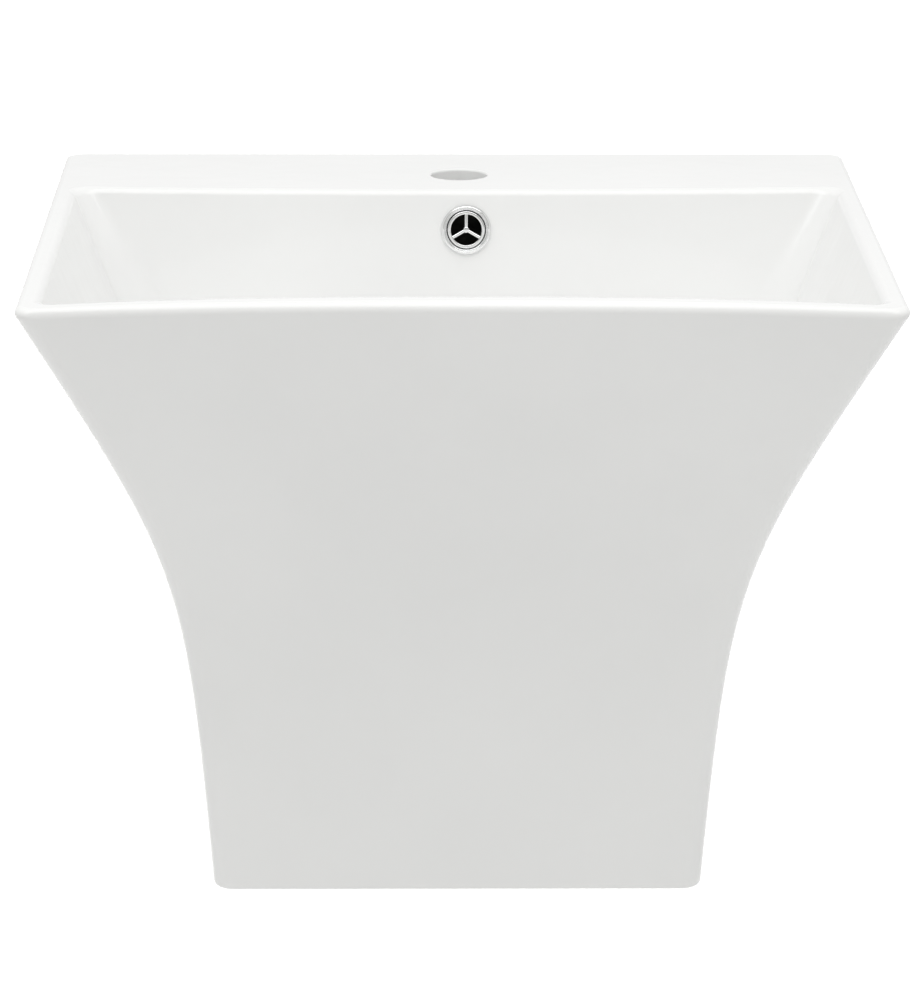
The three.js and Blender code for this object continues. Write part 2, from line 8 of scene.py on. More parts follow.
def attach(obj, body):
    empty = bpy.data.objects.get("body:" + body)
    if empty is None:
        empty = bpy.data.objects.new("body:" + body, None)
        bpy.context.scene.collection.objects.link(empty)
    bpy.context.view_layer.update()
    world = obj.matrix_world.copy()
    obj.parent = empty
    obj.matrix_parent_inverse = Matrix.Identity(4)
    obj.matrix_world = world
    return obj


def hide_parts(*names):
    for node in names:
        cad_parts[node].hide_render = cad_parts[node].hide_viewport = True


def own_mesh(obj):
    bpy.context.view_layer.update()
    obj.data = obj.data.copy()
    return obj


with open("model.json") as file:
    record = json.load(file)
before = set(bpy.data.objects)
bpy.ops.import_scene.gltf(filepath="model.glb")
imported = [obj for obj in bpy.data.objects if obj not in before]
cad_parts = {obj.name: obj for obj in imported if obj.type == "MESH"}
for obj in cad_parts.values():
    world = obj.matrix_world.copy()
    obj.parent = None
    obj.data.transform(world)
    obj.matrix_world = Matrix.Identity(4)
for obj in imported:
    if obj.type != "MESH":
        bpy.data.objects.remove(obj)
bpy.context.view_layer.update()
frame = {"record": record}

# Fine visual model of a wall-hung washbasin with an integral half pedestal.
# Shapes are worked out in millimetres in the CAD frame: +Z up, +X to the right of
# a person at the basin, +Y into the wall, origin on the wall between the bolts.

MM = 0.001

# ------------------------------------------------------------ casting dimensions, lengths in mm

RIM_WIDTH = 500
RIM_DEPTH = 451.75
CAST_HEIGHT = 410
RIM_Z = 95
BOWL_SKIN_SIDE = 13
BOWL_SKIN_FRONT = 15
BOWL_SKIN_BELOW = 11.5
SHROUD_SKIN = 11
DECK_THICKNESS = 14
HANGING_WALL = 12
HANGING_WALL_DROP = 150
REAR_FLANGE = 17
RIM_RADIUS = 4
WALL_EDGE_RADIUS = 2
FOOT_RADIUS = 4.5
CORNER_RADIUS = 11
REAR_CORNER_TOP, REAR_CORNER_BELOW, REAR_CORNER_DROP = 9, 3, 30
HOLLOW_CORNER = 6
DUCT_ROUNDING = 30
RIB_TOP, RIB_ROUNDING = 8, 40
BOSS_TOP, PAD_TOP = 100, 5
OVERCUT = 5
RIM_BOW = 22
RIM_BOW_POWER = 2.5
RIM_BOW_DROP = 220
FLARE_MEAN = 0.2547
FLARE_SWING = 0.1848
FLARE_DROP = 199
FLARE_SPREAD = 80
SIDE_LEAN = 1
FRONT_LEAN = 1.908
BOWL_BACK = -118
BOWL_BACK_LEAN = 0.14
BOWL_BACK_BOW = 8.5
BOWL_BACK_BOW_DROP = 130
BOWL_EDGE_RADIUS = 4
BOWL_CORNER_TOP = 14
BOWL_CORNER_FLOOR = 40
BOWL_FILLET_DROP = 90
BOWL_FILLET = 30
DRAIN_RIM_DROP = 127
RECESS_DROP = 129.5
RECESS_RADIUS = 33.5
DRAIN_Y = -212
OUTLET_Z = -170
TAP_HOLE_X, TAP_HOLE_Y, TAP_HOLE_RADIUS = 2, -68, 17.5
TAP_PAD_RADIUS, TAP_PAD_THICKNESS = 28, 2
OVERFLOW_X, OVERFLOW_DROP, OVERFLOW_RADIUS = 6, 24.3, 14
DUCT_X, DUCT_HALF_WIDTH, DUCT_DEPTH, DUCT_COVER, DUCT_TOP = 4, 20, 12, 8, 16
BOSS_RADIUS, BOSS_DROP, BOSS_HOLE = 38, 166, 22.5
CAVITY_RADIUS, CAVITY_TOP, CAVITY_FLOOR = 30, 140.5, 154
FIXING_X, FIXING_HOLE = 140, 8
GAP = 0.3

# ------------------------------------------------------------ meshes


def mesh_object(name, points, faces):
    mesh = bpy.data.meshes.new(name)
    mesh.from_pydata([Vector(point) * MM for point in points], [], faces)
    obj = bpy.data.objects.new(name, mesh)
    bpy.context.scene.collection.objects.link(obj)
    return obj


def turned(profile, segments=96, radius_at=None):
    """Closed shape turned about Z, from [radius, height] points, anticlockwise."""
    points, faces, rings = [], [], []
    for radius, height in profile:
        first = len(points)
        if radius < 1e-6:
            points.append((0, 0, height))
            rings.append([first] * segments)
            continue
        for step in range(segments):
            angle = 2 * math.pi * step / segments
            reach = radius_at(radius, height, angle) if radius_at else radius
            points.append((reach * math.cos(angle), reach * math.sin(angle), height))
        rings.append(list(range(first, first + segments)))
    on_axis = profile[0][0] < 1e-6 and profile[-1][0] < 1e-6
    for level in range(len(rings) - 1 if on_axis else len(rings)):
        low, high = rings[level], rings[(level + 1) % len(rings)]
        for step in range(segments):
            after = (step + 1) % segments
            face = [low[step], low[after], high[after], high[step]]
            corners = list(dict.fromkeys(face))
            if len(corners) > 2:
                faces.append(corners)
    return points, faces


def rounded(profile, radius, steps=3):
    """The profile with its corners rounded, but for the ones on the axis."""
    result = []
    count = len(profile)
    for index, corner in enumerate(profile):
        here = Vector(corner)
        before = Vector(profile[index - 1]) - here
        after = Vector(profile[(index + 1) % count]) - here
        bend = math.pi - before.angle(after)
        if here.x < 1e-6 or bend < 0.05:
            result.append(tuple(here))
            continue
        reach = min(radius * math.tan(bend / 2), before.length * 0.45, after.length * 0.45)
        start = here + before.normalized() * reach
        end = here + after.normalized() * reach
        for step in range(steps + 1):
            share = step / steps
            point = start * (1 - share) ** 2 + here * 2 * share * (1 - share) + end * share**2
            result.append(tuple(point))
    return result


def dense(profile, pitch):
    """The profile with its long upright runs cut into short steps."""
    result = []
    for index, (radius, height) in enumerate(profile):
        next_radius, next_height = profile[(index + 1) % len(profile)]
        result.append((radius, height))
        count = int(abs(next_height - height) / pitch)
        if abs(next_radius - radius) < 0.01 and radius > 0:
            for step in range(1, count):
                result.append((radius, height + (next_height - height) * step / count))
    return result


def thread(radius, low, high, pitch, depth):
    """Radius of a right-hand thread cut into a cylinder between two heights."""

    def radius_at(reach, height, angle):
        if reach < radius - 0.01 or not low < height < high:
            return reach
        ease = min(1, (height - low) / pitch, (high - height) / pitch)
        phase = (height / pitch - angle / (2 * math.pi)) % 1
        return reach - depth * ease * abs(2 * phase - 1)

    return radius_at


def ribs(radius, low, high, count, depth):
    """Radius of a ribbed grip between two heights."""

    def radius_at(reach, height, angle):
        if reach < radius - 0.01 or not low <= height <= high:
            return reach
        return reach - depth * (0.5 - 0.5 * math.cos(count * angle)) ** 2

    return radius_at


def loft(rings):
    """Closed skin through rings of points, the lowest first, anticlockwise from above."""
    count = len(rings[0])
    points = [point for ring in rings for point in ring]
    faces = []
    for level in range(len(rings) - 1):
        for index in range(count):
            here = level * count + index
            after = level * count + (index + 1) % count
            faces.append([here, after, after + count, here + count])
    faces.append(list(range(count - 1, -1, -1)))
    faces.append(list(range((len(rings) - 1) * count, len(rings) * count)))
    return points, faces


def placed(mesh, matrix):
    points, faces = mesh
    return [matrix @ Vector(point) for point in points], faces


def combine(base, other, operation):
    """Applies a boolean to base and removes the other object."""
    modifier = base.modifiers.new("combine", "BOOLEAN")
    modifier.object = other
    modifier.operation = operation
    modifier.solver = "MANIFOLD"
    bake(base)
    bpy.data.objects.remove(other)


def bake(obj):
    """Applies all the modifiers of an object."""
    depsgraph = bpy.context.evaluated_depsgraph_get()
    mesh = bpy.data.meshes.new_from_object(obj.evaluated_get(depsgraph))
    obj.modifiers.clear()
    obj.data = mesh
    mesh.materials.clear()


def cut(base, *meshes):
    for mesh in meshes:
        combine(base, mesh_object("cutter", *mesh), "DIFFERENCE")


def join(base, *meshes):
    for mesh in meshes:
        combine(base, mesh_object("joiner", *mesh), "UNION")


def smooth(obj, angle=35):
    obj.data.shade_smooth()
    obj.data.set_sharp_from_angle(angle=math.radians(angle))
    modifier = obj.modifiers.new("normals", "WEIGHTED_NORMAL")
    modifier.keep_sharp = True


# ------------------------------------------------------------ materials


class Shader:
    """A material under construction, with its object coordinates."""

    def __init__(self, name):
        self.material = bpy.data.materials.new(name)
        self.material.use_nodes = True
        self.tree = self.material.node_tree
        self.bsdf = self.tree.nodes["Principled BSDF"]
        self.coords = self.tree.nodes.new("ShaderNodeTexCoord").outputs["Object"]

    def link(self, source, target):
        self.tree.links.new(source, target)

    def noise(self, scale, detail=3, stretch=None):
        node = self.tree.nodes.new("ShaderNodeTexNoise")
        node.inputs["Scale"].default_value = scale
        node.inputs["Detail"].default_value = detail
        vector = self.coords
        if stretch:
            mapping = self.tree.nodes.new("ShaderNodeMapping")
            mapping.inputs["Scale"].default_value = stretch
            self.link(vector, mapping.inputs["Vector"])
            vector = mapping.outputs["Vector"]
        self.link(vector, node.inputs["Vector"])
        return node.outputs["Fac"]

    def ramp(self, source, stops):
        node = self.tree.nodes.new("ShaderNodeValToRGB")
        elements = node.color_ramp.elements
        while len(elements) < len(stops):
            elements.new(0.5)
        for element, (position, colour) in zip(elements, stops):
            element.position = position
            element.color = (*colour, 1)
        self.link(source, node.inputs["Fac"])
        return node.outputs["Color"]

    def colour(self, source, dark, light, low=0.35, high=0.65):
        self.link(self.ramp(source, [(low, dark), (high, light)]), self.bsdf.inputs["Base Color"])

    def vary(self, source, socket, low, high):
        node = self.tree.nodes.new("ShaderNodeMapRange")
        node.inputs["From Min"].default_value = 0.3
        node.inputs["From Max"].default_value = 0.7
        node.inputs["To Min"].default_value = low
        node.inputs["To Max"].default_value = high
        self.link(source, node.inputs["Value"])
        self.link(node.outputs["Result"], self.bsdf.inputs[socket])

    def bump(self, layers):
        """Stacks bumps, each a source, a height in metres and a strength."""
        normal = None
        for source, height, strength in layers:
            node = self.tree.nodes.new("ShaderNodeBump")
            node.inputs["Distance"].default_value = height
            node.inputs["Strength"].default_value = strength
            self.link(source, node.inputs["Height"])
            if normal:
                self.link(normal, node.inputs["Normal"])
            normal = node.outputs["Normal"]
        self.link(normal, self.bsdf.inputs["Normal"])


def glaze_material():
    shader = Shader("white_glaze")
    shader.colour(shader.noise(7, 2), (0.878, 0.88, 0.876), (0.898, 0.9, 0.896))
    shader.vary(shader.noise(30, 3), "Roughness", 0.05, 0.11)
    shader.bsdf.inputs["IOR"].default_value = 1.52
    shader.bump([(shader.noise(28, 2), 0.0006, 0.25), (shader.noise(420, 2), 0.00002, 0.2)])
    return shader.material


def bisque_material():
    shader = Shader("fired_clay")
    shader.colour(shader.noise(420, 5), (0.62, 0.58, 0.51), (0.73, 0.69, 0.62))
    shader.bsdf.inputs["Roughness"].default_value = 0.9
    shader.bump([(shader.noise(900, 4), 0.0003, 0.6)])
    return shader.material


def duct_shade_material():
    """Painted shade: clay darkened well below its real colour to near black, so that the hole reads
    dark from the front.
    """
    shader = Shader("duct_painted_shade")
    shader.colour(shader.noise(120, 4), (0.008, 0.0075, 0.007), (0.022, 0.021, 0.019))
    shader.bsdf.inputs["Roughness"].default_value = 0.95
    return shader.material


def metal_material(name, dark, light, rough, brush=None, bump=0.00001):
    shader = Shader(name)
    shader.bsdf.inputs["Metallic"].default_value = 1
    shader.colour(shader.noise(90, 4), dark, light)
    shader.vary(shader.noise(260, 4, brush), "Roughness", *rough)
    shader.bump([(shader.noise(700, 3, brush), bump, 0.25)])
    return shader.material


def plastic_material(name, dark, light, rough, grain):
    shader = Shader(name)
    shader.colour(shader.noise(60, 4), dark, light)
    shader.vary(shader.noise(200, 3), "Roughness", *rough)
    shader.bump([(shader.noise(grain, 3), 0.00004, 0.35)])
    return shader.material


MATERIALS = {
    "glaze": glaze_material(),
    "chrome": metal_material(
        "chrome_plate", (0.85, 0.852, 0.855), (0.91, 0.912, 0.915), (0.04, 0.09)
    ),
    "zinc_steel": metal_material(
        "zinc_plated_steel", (0.42, 0.43, 0.42), (0.62, 0.63, 0.64), (0.28, 0.45), None, 0.00004
    ),
    "spring_steel": metal_material(
        "drawn_spring_wire", (0.45, 0.46, 0.47), (0.6, 0.61, 0.62), (0.22, 0.36)
    ),
    "white_plastic": plastic_material(
        "white_polypropylene", (0.72, 0.71, 0.68), (0.78, 0.77, 0.74), (0.3, 0.42), 1500
    ),
    "grey_plastic": plastic_material(
        "grey_nylon", (0.21, 0.22, 0.22), (0.28, 0.29, 0.29), (0.45, 0.6), 1200
    ),
    "black_rubber": plastic_material(
        "moulded_rubber", (0.012, 0.012, 0.012), (0.03, 0.03, 0.03), (0.6, 0.8), 1800
    ),
}
BISQUE = bisque_material()
# near-black painted shade for the inside of the overflow duct and the drain cavity
DUCT_SHADE = duct_shade_material()

# ------------------------------------------------------------ pieces

record = frame["record"]
BODY_OF = {
    node: name
    for name, nodes in record["behaviour"]["bodies"].items()
    for node in nodes
}


def add_piece(node, finish, obj, angle=35):
    """Finishes the visible piece that stands for one CAD node."""
    obj.name = node + "_fine"
    obj.data.name = obj.name
    if not obj.data.materials:
        obj.data.materials.append(MATERIALS[finish])
    smooth(obj, angle)
    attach(obj, BODY_OF[node])
    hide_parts(node)
    return obj


def add_turned(node, finish, place, profile, corner=0.3, segments=96, radius_at=None, pitch=0):
    outline = rounded(profile, corner)
    if pitch:
        outline = dense(outline, pitch)
    mesh = placed(turned(outline, segments, radius_at), place)
    return add_piece(node, finish, mesh_object(node, *mesh))


def ring_profile(inner, outer, bottom, top):
    return [(inner, bottom), (outer, bottom), (outer, top), (inner, top)]


def cylinder_profile(radius, bottom, top):
    return ring_profile(0, radius, bottom, top)


def add_hex_nut(node, finish, place, flats, bore, bottom, top):
    reach = flats / math.sqrt(3)
    angles = [corner * math.pi / 3 for corner in range(6)]
    hexagon = [(reach * math.cos(angle), reach * math.sin(angle)) for angle in angles]
    prism = loft([[(x, y, z) for x, y in hexagon] for z in (bottom, top)])
    fall = (reach - flats / 2) * math.tan(math.radians(30)) + 0.3
    chamfer = min(0.8, (top - bottom) / 6)
    lathe = turned([
        (bore + chamfer, bottom), (flats / 2 - 0.4, bottom), (reach + 0.1, bottom + fall),
        (reach + 0.1, top - fall), (flats / 2 - 0.4, top), (bore + chamfer, top),
        (bore, top - chamfer), (bore, bottom + chamfer),
    ], 96)
    nut = mesh_object(node, *placed(prism, place))
    combine(nut, mesh_object("blank", *placed(lathe, place)), "INTERSECT")
    return add_piece(node, finish, nut, 25)


# ------------------------------------------------------------ casting


def z_at(drop):
    return RIM_Z - drop


def blend(start, end, share):
    return start + (end - start) * share


def log_cosh(value):
    return math.log(math.cosh(value))


def flare(drop):
    bend = log_cosh((drop - FLARE_DROP) / FLARE_SPREAD) - log_cosh(FLARE_DROP / FLARE_SPREAD)
    return FLARE_MEAN * drop - FLARE_SWING * FLARE_SPREAD * bend


def flare_slope(drop):
    return FLARE_MEAN - FLARE_SWING * math.tanh((drop - FLARE_DROP) / FLARE_SPREAD)


def quarter_round(drop, radius):
    depth = min(max(drop, 0), radius)
    return radius - math.sqrt(radius**2 - (radius - depth) ** 2)


def round_end(lean):
    return RIM_RADIUS * (1 + math.sin(math.atan(lean * flare_slope(0))))


def skin_inset(drop, lean):
    angle = math.atan(lean * flare_slope(0))
    return RIM_RADIUS * (1 - math.cos(angle)) + lean * (flare(drop) - flare(round_end(lean)))


def inset(drop, lean):
    if drop < round_end(lean):
        return RIM_RADIUS - math.sqrt(RIM_RADIUS**2 - (RIM_RADIUS - drop) ** 2)
    return skin_inset(drop, lean)


def level_width(skin, drop, lean):
    return skin * math.hypot(1, lean * flare_slope(drop))


def bow_at(drop):
    return RIM_BOW * max(0, 1 - drop / RIM_BOW_DROP) ** 2


def back_bow_at(drop):
    return BOWL_BACK_BOW * max(0, 1 - drop / BOWL_BACK_BOW_DROP) ** 2


def bowl_back_at(drop):
    return BOWL_BACK - BOWL_BACK_LEAN * drop


def steps(start, end, count):
    return [blend(start, end, index / count) for index in range(count + 1)]


def outline(half, front, rear, front_radius, rear_radius, bow, z, rear_bow=0):
    """Rounded rectangle at one height, its front and rear edges bowed in at the middle."""
    corner_steps, front_steps, side_steps, rear_steps = 10, 48, 24, 36
    points = []

    def corner(x, y, radius, start):
        for step in range(corner_steps + 1):
            angle = start + step / corner_steps * math.pi / 2
            points.append((x + radius * math.cos(angle), y + radius * math.sin(angle)))

    def between(start, end, count):
        for step in range(1, count):
            share = step / count
            points.append((blend(start[0], end[0], share), blend(start[1], end[1], share)))

    front_reach, rear_reach = half - front_radius, half - rear_radius
    front_side, rear_side = front + front_radius, rear - rear_radius
    corner(-front_reach, front_side, front_radius, math.pi)
    between((-front_reach, front), (front_reach, front), front_steps)
    corner(front_reach, front_side, front_radius, 1.5 * math.pi)
    between((half, front_side), (half, rear_side), side_steps)
    corner(rear_reach, rear_side, rear_radius, 0)
    between((rear_reach, rear), (-rear_reach, rear), rear_steps)
    corner(-rear_reach, rear_side, rear_radius, 0.5 * math.pi)
    between((-half, rear_side), (-half, front_side), side_steps)
    result = []
    for x, y in points:
        forward = (rear - y) / (rear - front)
        aside = min(abs(x) / half, 1)
        shift = bow * forward * (1 - aside**RIM_BOW_POWER)
        shift -= rear_bow * (1 - forward) * (1 - aside**2)
        result.append((x, y + shift, z))
    return result


def casting_mesh():
    rim = [RIM_RADIUS * (1 - math.cos(angle)) for angle in steps(0, math.pi / 2, 9)]
    side_end = round_end(FRONT_LEAN)
    bend = steps(RIM_RADIUS, side_end, 4)[1:]
    flank = steps(side_end, CAST_HEIGHT - FOOT_RADIUS, 86)[1:]
    foot = [
        CAST_HEIGHT - FOOT_RADIUS * (1 - math.sin(angle)) for angle in steps(0, math.pi / 2, 7)
    ][1:]
    rings = []
    for drop in [*rim, *bend, *flank, *foot]:
        left = CAST_HEIGHT - drop
        foot_inset = quarter_round(left, FOOT_RADIUS)
        wall_edge = max(
            quarter_round(drop, WALL_EDGE_RADIUS), quarter_round(left, WALL_EDGE_RADIUS)
        )
        rings.append(outline(
            RIM_WIDTH / 2 - inset(drop, SIDE_LEAN) - foot_inset,
            -RIM_DEPTH + inset(drop, FRONT_LEAN) + foot_inset,
            -wall_edge,
            CORNER_RADIUS - foot_inset * 0.5,
            blend(REAR_CORNER_TOP, REAR_CORNER_BELOW, min(drop / REAR_CORNER_DROP, 1)),
            bow_at(drop),
            z_at(drop),
        ))
    return loft(rings[::-1])


def bowl_mesh(grow, deepen):
    """Inside of the bowl, or with grow set, the outside of the bowl's skin."""
    radius = BOWL_FILLET + deepen

    def outline_at(drop, round_inset):
        level = max(drop, 0)
        edge = 0 if grow else quarter_round(level, BOWL_EDGE_RADIUS)
        side_skin = level_width(BOWL_SKIN_SIDE, level, SIDE_LEAN) - grow - edge
        front_skin = level_width(BOWL_SKIN_FRONT, level, FRONT_LEAN) - grow - edge
        corner = blend(BOWL_CORNER_TOP, BOWL_CORNER_FLOOR, level / RECESS_DROP) + grow
        return outline(
            RIM_WIDTH / 2 - skin_inset(level, SIDE_LEAN) - side_skin - round_inset,
            -RIM_DEPTH + skin_inset(level, FRONT_LEAN) + front_skin + round_inset,
            bowl_back_at(level) + back_bow_at(level) + grow + edge - round_inset,
            corner,
            corner,
            bow_at(level),
            z_at(drop),
            back_bow_at(level),
        )

    edge_drops = [BOWL_EDGE_RADIUS * (1 - math.cos(angle)) for angle in steps(0, math.pi / 2, 9)]
    wall_drops = steps(BOWL_EDGE_RADIUS, BOWL_FILLET_DROP, 20)[1:-1]
    rings = [outline_at(drop, 0) for drop in [-BOWL_EDGE_RADIUS, *edge_drops, *wall_drops]]
    for angle in steps(0, math.pi / 2, 12):
        drop = BOWL_FILLET_DROP + radius * math.sin(angle)
        rings.append(outline_at(drop, radius * (1 - math.cos(angle))))
    floor_edge = rings[-1]
    floor_drop = BOWL_FILLET_DROP + radius

    def circle(share, drop, reach_to):
        points = []
        for x, y, _ in floor_edge:
            reach = math.hypot(x, y - DRAIN_Y)
            scale = blend(1, reach_to / reach, share)
            points.append((x * scale, DRAIN_Y + (y - DRAIN_Y) * scale, z_at(drop)))
        return points

    drain_rim = DRAIN_RIM_DROP + deepen
    lip = 1.5
    for share in steps(0, 1, 14)[1:]:
        drop = blend(floor_drop, drain_rim, share**1.3)
        rings.append(circle(share, drop, RECESS_RADIUS + lip + grow))
    for angle in steps(0, math.pi / 2, 4)[1:]:
        drop = drain_rim + lip * (1 - math.cos(angle))
        rings.append(circle(1, drop, RECESS_RADIUS + grow + lip * (1 - math.sin(angle))))
    rings.append(circle(1, RECESS_DROP + deepen, RECESS_RADIUS + grow))
    return loft(rings[::-1])


def shroud_hollow_mesh():
    rings = []
    for drop in steps(DECK_THICKNESS, CAST_HEIGHT + OVERCUT, 60):
        rings.append(outline(
            RIM_WIDTH / 2 - inset(drop, SIDE_LEAN) - level_width(SHROUD_SKIN, drop, SIDE_LEAN),
            -RIM_DEPTH + inset(drop, FRONT_LEAN) + level_width(SHROUD_SKIN, drop, FRONT_LEAN),
            -HANGING_WALL,
            HOLLOW_CORNER,
            HOLLOW_CORNER,
            bow_at(drop),
            z_at(drop),
        ))
    return loft(rings[::-1])


def foot_edge_mesh():
    """Cutter that rounds the inner edge of the foot."""
    radius = 3
    rings = []
    for angle in [-0.2, *steps(0, math.pi / 2, 6)]:
        grow = radius * (1 - math.cos(max(angle, 0))) - (0.8 if angle < 0 else 0)
        drop = CAST_HEIGHT - radius + radius * math.sin(angle)
        rings.append((grow, drop))
    rings.append((radius, CAST_HEIGHT + 4))
    outlines = []
    for grow, drop in rings:
        level = min(drop, CAST_HEIGHT)
        outlines.append(outline(
            RIM_WIDTH / 2 - inset(level, SIDE_LEAN) - SHROUD_SKIN + grow,
            -RIM_DEPTH + inset(level, FRONT_LEAN) + SHROUD_SKIN - grow,
            -HANGING_WALL,
            HOLLOW_CORNER + grow,
            2,
            0,
            z_at(drop),
        ))
    return loft(outlines[::-1])


def rear_opening_mesh():
    """Cutter for the opening to the wall, with a rounded mouth on the wall side."""
    corner = 8
    drops = steps(HANGING_WALL_DROP + corner, CAST_HEIGHT + 6, 40)

    def section(grow, y):
        halves = [
            RIM_WIDTH / 2 - inset(drop, SIDE_LEAN) - SHROUD_SKIN - REAR_FLANGE + grow
            for drop in drops
        ]
        right = [(half, y, z_at(drop)) for half, drop in zip(halves, drops)][::-1]
        top_round = []
        for angle in steps(0, math.pi / 2, 8):
            x = halves[0] - corner + corner * math.cos(angle)
            z = z_at(drops[0]) + (corner + grow) * math.sin(angle)
            top_round.append((x, y, z))
        half_outline = right + top_round[1:]
        mirrored = [(-x, y_, z) for x, y_, z in half_outline[::-1]]
        return half_outline + mirrored

    radius = 3
    sections = [section(0, -HANGING_WALL - 8)]
    for angle in steps(0, math.pi / 2, 6):
        sections.append(section(radius * (1 - math.cos(angle)), -radius + radius * math.sin(angle)))
    sections.append(section(radius, 8))
    return loft(sections[::-1])


def duct_slab_mesh(half_width, corners):
    low_x, high_x = DUCT_X - half_width, DUCT_X + half_width
    rings = [[(x, y, z_at(drop)) for y, drop in corners[::-1]] for x in (low_x, high_x)]
    return loft(rings)


def duct_corners(behind, floor_drop, top, rounding):
    corners = [(DRAIN_Y, top), (bowl_back_at(top) + behind, top)]
    for angle in steps(0, math.pi / 2, 8):
        drop = floor_drop - rounding + rounding * math.sin(angle)
        back = bowl_back_at(drop) + behind - rounding * (1 - math.cos(angle))
        corners.append((back, drop))
    corners.append((DRAIN_Y, floor_drop))
    return corners


def trumpet(radius, bottom, top, lip_bottom, lip_top, segments=96):
    """Cutter for a hole between two faces, with a rounded lip at each end."""
    profile = [(0, bottom - 4), (radius + lip_bottom, bottom - 4)]
    for angle in steps(0, math.pi / 2, 5):
        profile.append((
            radius + lip_bottom * (1 - math.sin(angle)), bottom + lip_bottom * (1 - math.cos(angle))
        ))
    for angle in steps(0, math.pi / 2, 5):
        profile.append((
            radius + lip_top * (1 - math.cos(angle)), top - lip_top + lip_top * math.sin(angle)
        ))
    profile += [(radius + lip_top, top + 4), (0, top + 4)]
    return turned(profile, segments)


DRAIN = Matrix.Translation((0, DRAIN_Y, 0))
OUTLET = Matrix.Translation((0, 0, OUTLET_Z)) @ Matrix.Rotation(math.pi / 2, 4, "X")
OVERFLOW = Matrix.Translation(
    (OVERFLOW_X, bowl_back_at(OVERFLOW_DROP), z_at(OVERFLOW_DROP))
) @ Matrix.Rotation(math.pi / 2 - math.atan(BOWL_BACK_LEAN), 4, "X")
FIXINGS = {
    side: Matrix.Translation((x, 0, 0)) @ Matrix.Rotation(math.pi / 2, 4, "X")
    for side, x in (("left", -FIXING_X), ("right", FIXING_X))
}


def add_casting():
    hollow = mesh_object("hollow", *shroud_hollow_mesh())
    rib_depth = DUCT_DEPTH + DUCT_COVER + BOWL_SKIN_BELOW
    rib = duct_slab_mesh(
        DUCT_HALF_WIDTH + DUCT_COVER, duct_corners(rib_depth, BOSS_DROP, RIB_TOP, RIB_ROUNDING)
    )
    boss = placed(turned(cylinder_profile(BOSS_RADIUS, z_at(BOSS_DROP), z_at(BOSS_TOP))), DRAIN)
    pad_bottom = z_at(DECK_THICKNESS + TAP_PAD_THICKNESS)
    pad = turned(cylinder_profile(TAP_PAD_RADIUS, pad_bottom, z_at(PAD_TOP)))
    tap_place = Matrix.Translation((TAP_HOLE_X, TAP_HOLE_Y, 0))
    bowl_outside = bowl_mesh(BOWL_SKIN_BELOW, BOWL_SKIN_BELOW - 0.5)
    cut(hollow, bowl_outside, rib, boss, placed(pad, tap_place))
    remesh = hollow.modifiers.new("remesh", "REMESH")
    remesh.mode = "VOXEL"
    remesh.voxel_size = 0.004
    relax = hollow.modifiers.new("relax", "SMOOTH")
    relax.factor = 0.5
    relax.iterations = 5
    bake(hollow)

    casting = mesh_object("casting", *casting_mesh())
    cut(casting, bowl_mesh(0, 0))
    combine(casting, hollow, "DIFFERENCE")

    channel = mesh_object("channel", *duct_slab_mesh(
        DUCT_HALF_WIDTH,
        duct_corners(DUCT_DEPTH + BOWL_SKIN_BELOW, CAVITY_FLOOR, DUCT_TOP, DUCT_ROUNDING),
    ))
    cut(channel, bowl_outside)
    combine(casting, channel, "DIFFERENCE")

    cavity = turned(
        ring_profile(BOSS_HOLE - 1, CAVITY_RADIUS, z_at(CAVITY_FLOOR), z_at(CAVITY_TOP))
    )
    cut(
        casting,
        rear_opening_mesh(),
        foot_edge_mesh(),
        placed(cavity, DRAIN),
        placed(trumpet(BOSS_HOLE, z_at(BOSS_DROP), z_at(RECESS_DROP), 1, 1), DRAIN),
        placed(trumpet(TAP_HOLE_RADIUS, pad_bottom, RIM_Z, 1.5, 1.6, 128), tap_place),
        placed(trumpet(OVERFLOW_RADIUS, -DUCT_DEPTH - BOWL_SKIN_BELOW + 10, 0, 0.2, 0.8), OVERFLOW),
    )
    for place in FIXINGS.values():
        cut(casting, placed(trumpet(FIXING_HOLE, 0, HANGING_WALL, 1.2, 1.2, 64), place))

    # slot 2 is the near-black painted shade for the inside of the overflow duct and drain cavity
    for material in (MATERIALS["glaze"], BISQUE, DUCT_SHADE):
        casting.data.materials.append(material)
    foot_z = z_at(CAST_HEIGHT)
    for face in casting.data.polygons:
        x, y, z = face.center / MM
        face.material_index = 0
        if face.normal.y > 0.8 and y > -0.4 or face.normal.z < -0.8 and z < foot_z + 0.4:
            face.material_index = 1
        # inside the overflow duct and drain cavity: painted shade, near black instead of glaze
        elif in_duct(x, y, z, face.normal):
            face.material_index = 2
    return add_piece("ceramic_body", "glaze", casting, 30)


def in_duct(x, y, z, normal):
    """Whether a point is on the inside of the overflow duct or of the cavity round the drain."""
    drop = RIM_Z - z
    off_drain = math.hypot(x, y - DRAIN_Y)
    if CAVITY_TOP - 0.2 < drop < CAVITY_FLOOR + 0.2 and off_drain < CAVITY_RADIUS + 0.2:
        return True
    behind = y - bowl_back_at(drop)
    within = abs(x - DUCT_X) < DUCT_HALF_WIDTH + 0.3 and DUCT_TOP - 0.3 < drop < CAVITY_FLOOR + 0.3
    if not within or off_drain < BOSS_HOLE + 1 or y < DRAIN_Y:
        return False
    if drop > BOWL_FILLET_DROP + BOWL_FILLET + BOWL_SKIN_BELOW - 2:
        return normal.y < 0.3 and y < bowl_back_at(drop) + DUCT_DEPTH + BOWL_SKIN_BELOW + 0.3
    return 2 < behind < DUCT_DEPTH + BOWL_SKIN_BELOW + 0.5


# ------------------------------------------------------------ overflow fittings


